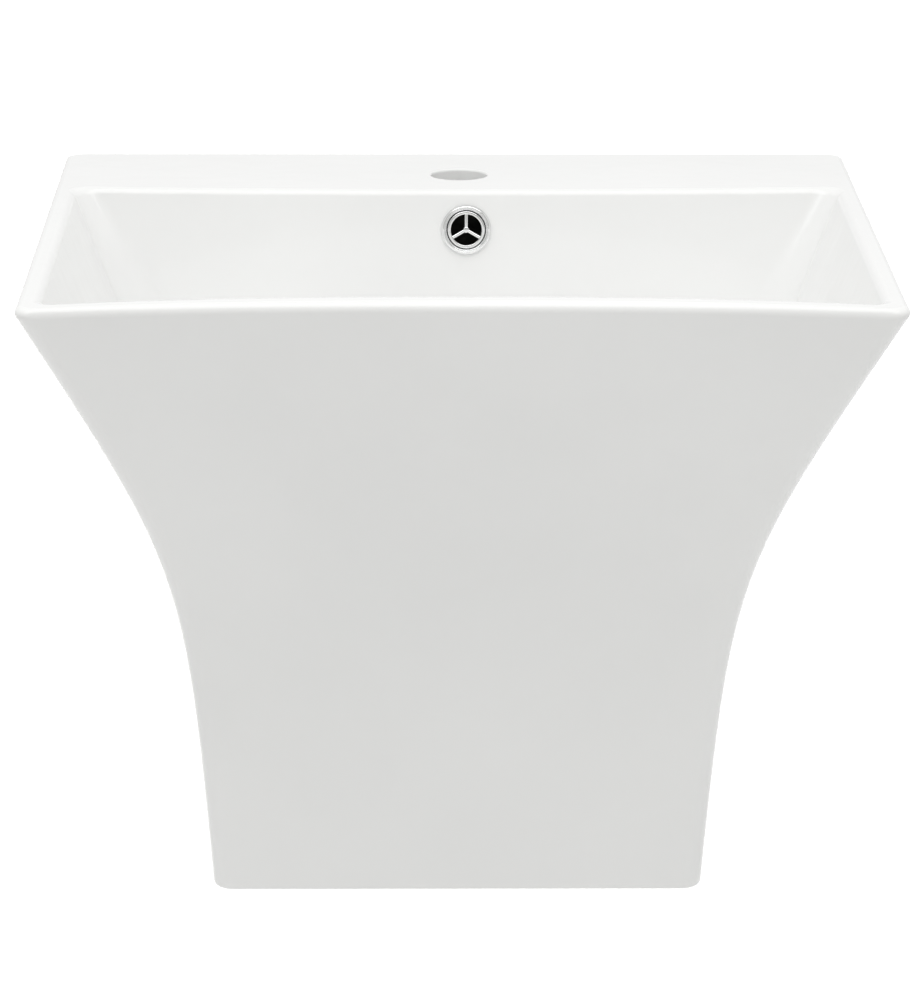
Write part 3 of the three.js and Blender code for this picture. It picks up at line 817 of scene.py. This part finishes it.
def add_overflow():
    add_turned("overflow_ring", "chrome", OVERFLOW, [
        (11, -10), (12, -10), (12, GAP), (15.5, GAP), (15.5, 0.9), (14.5, 2.1), (13.6, 2.4),
        (13.2, 1.5), (12.8, 2.3), (12, 1.6), (11, 0.9),
    ], 0.35, 128)
    add_turned(
        "overflow_sleeve", "black_rubber", OVERFLOW, ring_profile(12 + GAP, 14 - GAP, -11.5, -0.4)
    )
    insert = turned(rounded(
        [(9.6, -7), (10.7, -7), (10.7, 1.2), (11.7, 2.1), (11.4, 2.9), (9.6, 2.9)], 0.5
    ), 128)
    grid = mesh_object("overflow_grid", *placed(insert, OVERFLOW))
    hub = turned(rounded(cylinder_profile(1.9, 0.6, 2.5), 0.6), 48)
    join(grid, placed(hub, OVERFLOW))
    for index in range(3):
        place = OVERFLOW @ Matrix.Rotation(index * 2 * math.pi / 3, 4, "Z")
        join(grid, placed(arm_mesh(2.1, 10.2, 0.8, 2.4, 0.75), place))
    add_piece("overflow_grid", "chrome", grid)


def arm_mesh(width, length, bottom, top, radius):
    """A straight arm along Y with rounded long edges."""
    half = width / 2
    section = []
    for x, z, start in (
        (half - radius, bottom + radius, -math.pi / 2), (half - radius, top - radius, 0),
        (-half + radius, top - radius, math.pi / 2), (-half + radius, bottom + radius, math.pi),
    ):
        for angle in steps(start, start + math.pi / 2, 4):
            section.append((x + radius * math.cos(angle), z + radius * math.sin(angle)))
    return loft([[(x, y, z) for x, z in section] for y in (length, 0)])


# ------------------------------------------------------------ waste and plug

SEAT_Z = z_at(RECESS_DROP)
FLANGE_TOP = SEAT_Z + 4.7
PLUG_TRAVEL = 9
CAP_RIM = FLANGE_TOP + GAP + PLUG_TRAVEL
BOSS_FACE = z_at(BOSS_DROP)
WASTE_RADIUS = 20.8
WASTE_BORE = 17.5
WASTE_END = -111
WEB_TOP = -66


def add_waste():
    face = SEAT_Z + 2.2
    profile = dense(rounded([
        (WASTE_BORE, WASTE_END), (WASTE_RADIUS, WASTE_END), (WASTE_RADIUS, face - 6),
        (21.8, face - 2.2), (22.6, face - 1.2), (22.6, face), (31.6, face),
        (32.5, face + 0.8), (32.2, face + 1.8), (31, FLANGE_TOP), (22.5, FLANGE_TOP),
        (WASTE_BORE, FLANGE_TOP - 6.2),
    ], 0.6), 0.3)
    screwed = thread(WASTE_RADIUS, WASTE_END + 0.3, -60, 2.31, 0.9)
    waste = mesh_object("waste", *placed(turned(profile, 72, screwed), DRAIN))
    hub = turned(rounded(cylinder_profile(8, WEB_TOP - 4, WEB_TOP), 0.6), 64)
    join(waste, placed(hub, DRAIN))
    for index in range(3):
        place = DRAIN @ Matrix.Rotation(index * 2 * math.pi / 3, 4, "Z")
        join(waste, placed(arm_mesh(4, WASTE_BORE + 0.6, WEB_TOP - 4, WEB_TOP, 0.8), place))
    bore = turned(cylinder_profile(3.4, WEB_TOP - 6, WEB_TOP + 2), 48)
    cut(waste, placed(bore, DRAIN))
    for index in range(4):
        place = DRAIN @ Matrix.Rotation((index + 0.5) * math.pi / 2, 4, "Z")
        cut(waste, placed(arm_mesh(8, 25, -57, -47, 2.5), place))
    add_piece("waste_body", "chrome", waste)

    add_turned(
        "waste_flange_gasket", "black_rubber", DRAIN,
        ring_profile(23.5, 31, SEAT_Z + GAP, face - GAP),
    )
    foot = BOSS_FACE - 6
    add_turned("waste_lower_gasket", "black_rubber", DRAIN, [
        (WASTE_RADIUS + GAP, foot), (32, foot), (32, foot + 2.5), (26, BOSS_FACE - GAP),
        (WASTE_RADIUS + GAP, BOSS_FACE - GAP),
    ], 0.8)
    add_turned(
        "waste_washer", "white_plastic", DRAIN,
        ring_profile(WASTE_RADIUS + 0.5, 33, foot - 2.3, foot - GAP), 0.4,
    )
    add_hex_nut(
        "waste_backnut", "chrome", DRAIN, 58, WASTE_RADIUS + GAP, foot - 12.6, foot - 2.6
    )


def add_plug():
    dome = [(radius, CAP_RIM + 5.6 - 3 * (radius / 28.6) ** 2.2) for radius in steps(28.6, 0, 24)]
    add_turned("plug_cap", "chrome", DRAIN, [
        (0, CAP_RIM + 0.5), (3.3, CAP_RIM + 0.5), (3.3, CAP_RIM - 7), (10, CAP_RIM - 7),
        (10, CAP_RIM - 5.6), (9, CAP_RIM - 5.6), (9, CAP_RIM - 2.3), (18, CAP_RIM - 2.3),
        (18, CAP_RIM + 0.8), (28, CAP_RIM + 0.8), (28.6, CAP_RIM), (30, CAP_RIM),
        (30, CAP_RIM + 1.6), *dome,
    ], 0.5, 128)
    add_turned("plug_gasket", "black_rubber", DRAIN, [
        (9 + GAP, CAP_RIM - 5.3), (17.6, CAP_RIM - 5.3), (19.8, CAP_RIM - 2.6),
        (9 + GAP, CAP_RIM - 2.6),
    ], 0.5)
    ceiling = -41
    piston = ceiling - GAP - 4
    add_turned("plug_plunger", "zinc_steel", DRAIN, [
        (0, piston), (5.2, piston), (5.2, ceiling - GAP), (3, ceiling - GAP), (3, CAP_RIM + 0.2),
        (0, CAP_RIM + 0.2),
    ], 0.3, 64)
    add_turned("click_cartridge", "white_plastic", DRAIN, [
        (0, WEB_TOP - 8), (3.1, WEB_TOP - 8), (3.1, WEB_TOP + GAP), (7.5, WEB_TOP + GAP),
        (7.5, ceiling + 3), (3.4, ceiling + 3), (3.4, ceiling), (5.6, ceiling),
        (5.6, WEB_TOP + 3), (0, WEB_TOP + 3),
    ], 0.4, 64)
    foot = WEB_TOP + 3 + GAP + 0.5
    top = piston - GAP - 0.5
    spring = mesh_object("spring", *placed(helix_mesh(3.6, 0.45, foot, top, 5), DRAIN))
    add_piece("click_spring", "spring_steel", spring, 60)
    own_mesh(spring)


def helix_mesh(reach, wire, bottom, top, turns):
    """Round wire wound about Z, with its first and last half turn lying closer."""
    per_turn, sides = 40, 12
    count = turns * per_turn
    rings = []
    for step in range(count + 1):
        share = step / count
        eased = share - 0.055 * math.sin(2 * math.pi * share)
        angle = step / per_turn * 2 * math.pi
        out = Vector((math.cos(angle), math.sin(angle), 0))
        centre = out * reach + Vector((0, 0, blend(bottom, top, eased)))
        ring = []
        for side in range(sides):
            around = 2 * math.pi * side / sides
            rise = Vector((0, 0, wire * math.sin(around)))
            ring.append(centre + out * wire * math.cos(around) + rise)
        rings.append(ring[::-1])
    return loft(rings)


# ------------------------------------------------------------ bottle trap

TUBE_RADIUS = 16
TUBE_BORE = 14.3
SPOUT_RADIUS = 21.5
SPOUT_END = 155
BOTTLE_RADIUS = 30
SPIGOT_RADIUS = 28.2
NECK_TOP = -131
SHOULDER = -147
SPIGOT_TOP = -200.6
CUP_TOP = -203
CUP_FOOT = -262


def add_trap():
    flange = WASTE_END - 2.2
    add_turned(
        "trap_union_gasket", "black_rubber", DRAIN,
        ring_profile(16.9, 20.5, WASTE_END - 1.9, WASTE_END - GAP),
    )
    add_turned("trap_dip_tube", "white_plastic", DRAIN, [
        (TUBE_BORE, -234), (TUBE_RADIUS, -234), (TUBE_RADIUS, flange - 2), (20.5, flange - 2),
        (20.5, flange), (TUBE_BORE, flange),
    ], 0.4)
    add_turned("trap_union_nut", "white_plastic", DRAIN, [
        (16.8, -118), (25.5, -118), (27, -116.5), (27, -96), (WASTE_RADIUS + GAP, -96),
        (WASTE_RADIUS + GAP, flange - 2 - GAP), (16.8, flange - 2 - GAP),
    ], 0.6, 192, ribs(27, -116, -98, 24, 1.1), 1.5)
    add_turned("trap_top_seal", "black_rubber", DRAIN, [
        (16.3, NECK_TOP + GAP), (SPOUT_RADIUS - 0.5, NECK_TOP + GAP),
        (SPOUT_RADIUS - 0.5, NECK_TOP + 2), (18.5, NECK_TOP + 3.5), (16.3, NECK_TOP + 3.5),
    ])
    add_turned("trap_top_nut", "white_plastic", DRAIN, [
        (SPOUT_RADIUS + GAP, NECK_TOP - 12), (26, NECK_TOP - 12), (26, NECK_TOP + 4.8),
        (25, NECK_TOP + 6), (16.6, NECK_TOP + 6), (16.6, NECK_TOP + 3.8),
        (SPOUT_RADIUS + GAP, NECK_TOP + 3.8),
    ], 0.6, 192, ribs(26, NECK_TOP - 11, NECK_TOP + 4, 24, 1.1), 1.5)

    bottle = turned(rounded([
        (25.6, -215), (SPIGOT_RADIUS, -215), (SPIGOT_RADIUS, SPIGOT_TOP),
        (BOTTLE_RADIUS, SPIGOT_TOP), (BOTTLE_RADIUS, SHOULDER - 1.5),
        (SPOUT_RADIUS, SHOULDER + 3), (SPOUT_RADIUS, NECK_TOP), (16.6, NECK_TOP),
        (16.6, SHOULDER), (25.6, SHOULDER - 3),
    ], 1.2), 96)
    body = mesh_object("trap_body", *placed(bottle, DRAIN))
    spout = mesh_object("spout", *spout_mesh(SPOUT_RADIUS, 20, -DRAIN_Y - SPOUT_END))
    inside = turned(cylinder_profile(25.6, -214, SHOULDER - 3))
    cut(spout, placed(inside, DRAIN))
    combine(body, spout, "UNION")
    cut(body, spout_mesh(TUBE_RADIUS + 0.8, 18, -DRAIN_Y - SPOUT_END + 2))
    add_piece("trap_body", "white_plastic", body)

    add_turned(
        "trap_cup_seal", "black_rubber", DRAIN,
        ring_profile(SPIGOT_RADIUS + GAP, 30.3, CUP_TOP + GAP, SPIGOT_TOP - GAP),
    )
    add_turned("trap_cup", "white_plastic", DRAIN, [
        (0, CUP_FOOT), (24, CUP_FOOT), (27, CUP_FOOT + 1.2), (31, CUP_TOP - 24), (31, CUP_TOP),
        (SPIGOT_RADIUS + GAP, CUP_TOP), (SPIGOT_RADIUS + GAP, CUP_TOP - 13.5),
        (27, CUP_TOP - 14.5), (24, CUP_FOOT + 4.5), (22, CUP_FOOT + 3), (0, CUP_FOOT + 3),
    ], 1, 192, ribs(31, CUP_TOP - 23, CUP_TOP - 1.5, 30, 0.9), 1.5)


def spout_mesh(radius, start, end):
    place = DRAIN @ Matrix.Translation((0, 0, OUTLET_Z)) @ Matrix.Rotation(-math.pi / 2, 4, "X")
    return placed(turned(cylinder_profile(radius, start, end)), place)


def add_outlet():
    add_turned("trap_outlet_seal", "black_rubber", OUTLET, [
        (16.3, SPOUT_END - 3.5), (18.5, SPOUT_END - 3.5), (21, SPOUT_END - 2),
        (21, SPOUT_END - GAP), (16.3, SPOUT_END - GAP),
    ])
    add_turned("trap_outlet_nut", "white_plastic", OUTLET, [
        (16.6, SPOUT_END - 6.2), (25, SPOUT_END - 6.2), (26, SPOUT_END - 5), (26, SPOUT_END + 12),
        (SPOUT_RADIUS + GAP, SPOUT_END + 12), (SPOUT_RADIUS + GAP, SPOUT_END - 3.8),
        (16.6, SPOUT_END - 3.8),
    ], 0.6, 192, ribs(26, SPOUT_END - 4, SPOUT_END + 11, 24, 1.1), 1.5)
    add_turned(
        "trap_outlet_pipe", "white_plastic", OUTLET,
        ring_profile(TUBE_BORE, TUBE_RADIUS, -30, SPOUT_END + 16), 0.5,
    )
    add_turned("wall_flange", "chrome", OUTLET, [
        (33, 0.5), (34.5, 0.5), (34.5, 1.6), (27, 5.6), (19.5, 7.6), (18, 10), (16.4, 10),
        (16.4, 7.2), (26, 4.2), (33, 1.2),
    ], 1.5, 128)


# ------------------------------------------------------------ wall fixings


def bolt_thread():
    coarse = thread(3.75, -56, -2, 3, 0.9)
    fine = thread(4.9, 2, 37.6, 1.5, 0.5)

    def radius_at(reach, height, angle):
        return fine(reach, height, angle) if height > 1 else coarse(reach, height, angle)

    return radius_at


def plug_barbs(reach, height, angle):
    """Rings of barbs and four split lines down the outside of a wall plug."""
    if reach < 6.9 or not -60 < height < -4:
        return reach
    saw = (height / 5) % 1
    split = 0.5 if abs((angle / (math.pi / 2)) % 1 - 0.5) < 0.03 else 0
    return reach - 0.7 * saw - split


def add_fixing(side, place):
    add_turned(f"hanger_bolt_{side}", "zinc_steel", place, [
        (0, -62), (1.2, -60), (3.75, -54), (3.75, -0.5), (4.9, 0.5), (4.9, 37), (4, 38), (0, 38),
    ], 0.2, 48, bolt_thread(), 0.25)
    add_turned(f"wall_plug_{side}", "grey_plastic", place, [
        (0, -66), (5, -66), (7, -62), (7, -0.6), (4.1, -0.6), (4.1, -63), (0, -63),
    ], 0.3, 96, plug_barbs, 1)
    seat = HANGING_WALL + GAP
    add_turned(f"fixing_sleeve_{side}", "white_plastic", place, [
        (5.3, 0.8), (FIXING_HOLE - GAP, 0.8), (FIXING_HOLE - GAP, seat), (14, seat),
        (14, seat + 3), (5.3, seat + 3),
    ], 0.4, 64)
    add_turned(
        f"fixing_washer_{side}", "zinc_steel", place, ring_profile(5.4, 13, seat + 3.3, seat + 5.3),
        0.3, 64,
    )
    add_hex_nut(f"fixing_nut_{side}", "zinc_steel", place, 17, 5.2, seat + 5.6, seat + 13.6)


# ------------------------------------------------------------ floor, light and camera

CAMERA_PLACE = (-0.03414, -3.08438, 0.69992)
CAMERA_LENS = 174.96
CAMERA_PITCH, CAMERA_YAW, CAMERA_ROLL = 15.173, 0.735, -0.167
WORLD_STRENGTH = 0.835
OVERHEAD_POWER = 26.5
WASH_POWER = 110


def add_floor():
    half, height = 9, -0.755
    points = [
        (-half, -half, height), (half, -half, height), (half, half, height), (-half, half, height)
    ]
    floor = mesh_object("floor", [Vector(point) / MM for point in points], [[0, 1, 2, 3]])
    shader = Shader("pale_floor")
    shader.colour(shader.noise(3, 3), (0.93, 0.93, 0.93), (0.95, 0.95, 0.95))
    shader.bsdf.inputs["Roughness"].default_value = 0.8
    shader.bsdf.inputs["Specular IOR Level"].default_value = 0.2
    floor.data.materials.append(shader.material)


def add_area(name, place, target, size, power, spread=180):
    light = bpy.data.lights.new(name, "AREA")
    light.shape = "RECTANGLE"
    light.size, light.size_y = size
    light.energy = power
    light.spread = math.radians(spread)
    lamp = bpy.data.objects.new(name, light)
    lamp.location = place
    lamp.rotation_euler = (Vector(target) - Vector(place)).to_track_quat("-Z", "Y").to_euler()
    bpy.context.scene.collection.objects.link(lamp)


def add_world():
    """A soft studio surround, dimmer on the viewer's side."""
    world = bpy.data.worlds.new("studio")
    bpy.context.scene.world = world
    world.use_nodes = True
    tree = world.node_tree
    coords = tree.nodes.new("ShaderNodeTexCoord")
    split = tree.nodes.new("ShaderNodeSeparateXYZ")
    tree.links.new(coords.outputs["Generated"], split.inputs["Vector"])
    spread = tree.nodes.new("ShaderNodeMapRange")
    spread.inputs["From Min"].default_value = -1
    spread.inputs["From Max"].default_value = 1
    tree.links.new(split.outputs["Y"], spread.inputs["Value"])
    ramp = tree.nodes.new("ShaderNodeValToRGB")
    elements = ramp.color_ramp.elements
    elements[0].position, elements[0].color = 0.0, (0.6, 0.6, 0.58, 1)
    elements[1].position, elements[1].color = 1.0, (1.0, 1.0, 1.0, 1)
    tree.links.new(spread.outputs["Result"], ramp.inputs["Fac"])
    background = tree.nodes["Background"]
    tree.links.new(ramp.outputs["Color"], background.inputs["Color"])
    background.inputs["Strength"].default_value = WORLD_STRENGTH


def add_camera():
    camera = bpy.data.cameras.new("camera")
    camera.sensor_width = camera.sensor_height = 36
    camera.lens = CAMERA_LENS
    holder = bpy.data.objects.new("camera", camera)
    pitch, yaw, roll = (
        math.radians(angle) for angle in (CAMERA_PITCH, CAMERA_YAW, CAMERA_ROLL)
    )
    forward = Vector((
        math.sin(yaw) * math.cos(pitch), math.cos(yaw) * math.cos(pitch), -math.sin(pitch)
    ))
    level = Vector((math.cos(yaw), -math.sin(yaw), 0))
    down = forward.cross(level)
    right = level * math.cos(roll) + down * math.sin(roll)
    up = level * math.sin(roll) - down * math.cos(roll)
    axes = Matrix((right, up, -forward)).transposed().to_4x4()
    holder.matrix_world = Matrix.Translation(CAMERA_PLACE) @ axes
    camera.clip_end = 60
    bpy.context.scene.collection.objects.link(holder)
    bpy.context.scene.camera = holder


add_camera()
add_casting()
add_overflow()
add_waste()
add_plug()
add_trap()
add_outlet()
for fixing_side, fixing_place in FIXINGS.items():
    add_fixing(fixing_side, fixing_place)
add_floor()
add_world()
add_area("overhead", (-0.06, -1.0, 1.85), (0, -0.2, 0), (2.6, 2.0), OVERHEAD_POWER)
add_area("floor_wash", (0, 3.5, 1.2), (0, 3.5, 0), (7, 5.4), WASH_POWER, 70)
bpy.context.scene.view_settings.view_transform = "Standard"
